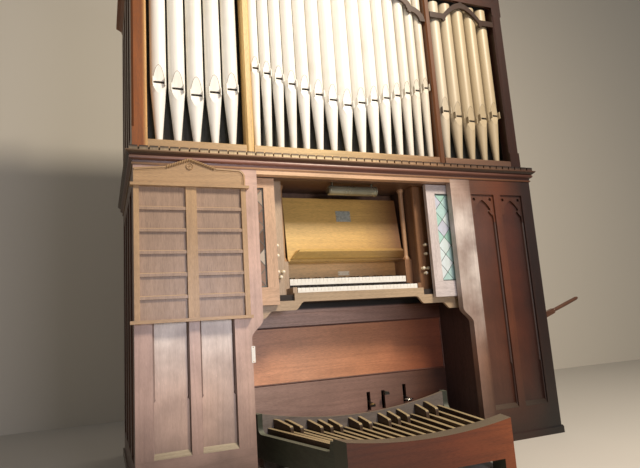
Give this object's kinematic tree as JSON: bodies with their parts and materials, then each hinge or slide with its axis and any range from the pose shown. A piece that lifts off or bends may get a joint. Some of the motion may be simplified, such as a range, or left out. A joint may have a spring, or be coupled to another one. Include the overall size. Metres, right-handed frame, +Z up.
{
  "type": "pipe organ",
  "caption": "Pipe organ in a panelled oak case: pipe front over a moulding, sliding glazed doors at the keys, a fanned hollow pedalboard, toe levers and a blowing handle.",
  "frame": {"origin": "On the floor, in the plane of the lower case front, at the middle of its width", "axes": "+X to the right as seen from the front, +Y into the case, +Z up"},
  "size_m": [3.167, 1.783, 3.225],
  "materials": {
    "oak": "varnished oak, satin",
    "red_oak": "dark varnished oak, satin",
    "golden_oak": "golden varnished oak, satin",
    "pipe_paint": "cream paint on pipe metal, satin",
    "dark_board": "dark stained board, matt",
    "ivory": "ivory coloured key covering, polished",
    "ebony": "ebony, polished",
    "lamp_metal": "greyed lacquer, satin",
    "pedal_oak": "worn oak, matt",
    "pedal_paint": "dark stained wood, matt",
    "pedal_maple": "bare maple worn by shoes",
    "iron": "forged iron, dull",
    "dark_ash": "dark oiled ash",
    "door_glass": "leaded glass"
  },
  "bodies": {
    "case": {"plinth": "red_oak", "front_frames": "oak", "front_panels": "oak", "front_tracery": "oak", "front_head": "oak", "lower_sides": "red_oak", "upper_sides": "red_oak", "back_wall": "red_oak", "roof": "red_oak", "centre_head": "red_oak", "impost": "oak", "dentils": "oak", "toe_board": "oak", "corner_posts": "oak", "inner_posts": "oak", "pipes_left": "pipe_paint", "pipes_centre": "pipe_paint", "pipes_right": "pipe_paint", "pipe_backing": "dark_board", "side_arches": "oak", "centre_arch": "oak", "top_rails": "oak", "cornices": "oak", "hymn_board": "golden_oak", "hymn_frame": "golden_oak", "hymn_ledges": "golden_oak", "hymn_heading": "golden_oak", "door_tracks": "oak", "apron": "golden_oak", "key_bed": "oak", "lower_keys": "ivory", "upper_keys": "ivory", "black_keys": "ebony", "key_cheeks": "oak", "stop_jambs": "golden_oak", "stop_knobs": "ivory", "key_recess": "oak", "columns": "oak", "desk_lamp": "lamp_metal", "music_desk": "golden_oak", "name_board": "golden_oak", "knee_rails": "oak", "knee_panel": "golden_oak", "knee_sides": "oak", "heel_beam": "pedal_oak", "pedal_sides": "pedal_paint", "pedal_toe_board": "pedal_oak", "long_pedals": "pedal_maple", "short_pedals": "pedal_maple", "pivots": "iron"},
    "door_left": {"left_door": "oak", "left_glass": "door_glass"},
    "door_right": {"right_door": "oak", "right_glass": "door_glass"},
    "toe_lever_left": {"lever_left": "iron"},
    "toe_lever_middle": {"lever_middle": "iron"},
    "toe_lever_right": {"lever_right": "iron"},
    "handle": {"blowing_handle": "dark_ash"}
  },
  "joints": [
    {"name": "door_left_slide", "type": "slide", "parent": "case", "child": "door_left", "axis": [1, 0, 0], "range_m": [-0.015, 0.51]},
    {"name": "door_right_slide", "type": "slide", "parent": "case", "child": "door_right", "axis": [-1, 0, 0], "range_m": [-0.05, 0.475]},
    {"name": "toe_lever_left_hinge", "type": "hinge", "parent": "case", "child": "toe_lever_left", "pos_m": [0.117, 0.6, 0.29], "axis": [1, 0, 0], "range_deg": [-11, 6]},
    {"name": "toe_lever_middle_hinge", "type": "hinge", "parent": "case", "child": "toe_lever_middle", "pos_m": [0.218, 0.6, 0.29], "axis": [1, 0, 0], "range_deg": [0, 17]},
    {"name": "toe_lever_right_hinge", "type": "hinge", "parent": "case", "child": "toe_lever_right", "pos_m": [0.37, 0.6, 0.29], "axis": [1, 0, 0], "range_deg": [-15.5, 2]},
    {"name": "handle_hinge", "type": "hinge", "parent": "case", "child": "handle", "pos_m": [1.15, 0.3, 0.593], "axis": [0, -1, 0], "range_deg": [-31, 4]}
  ]
}
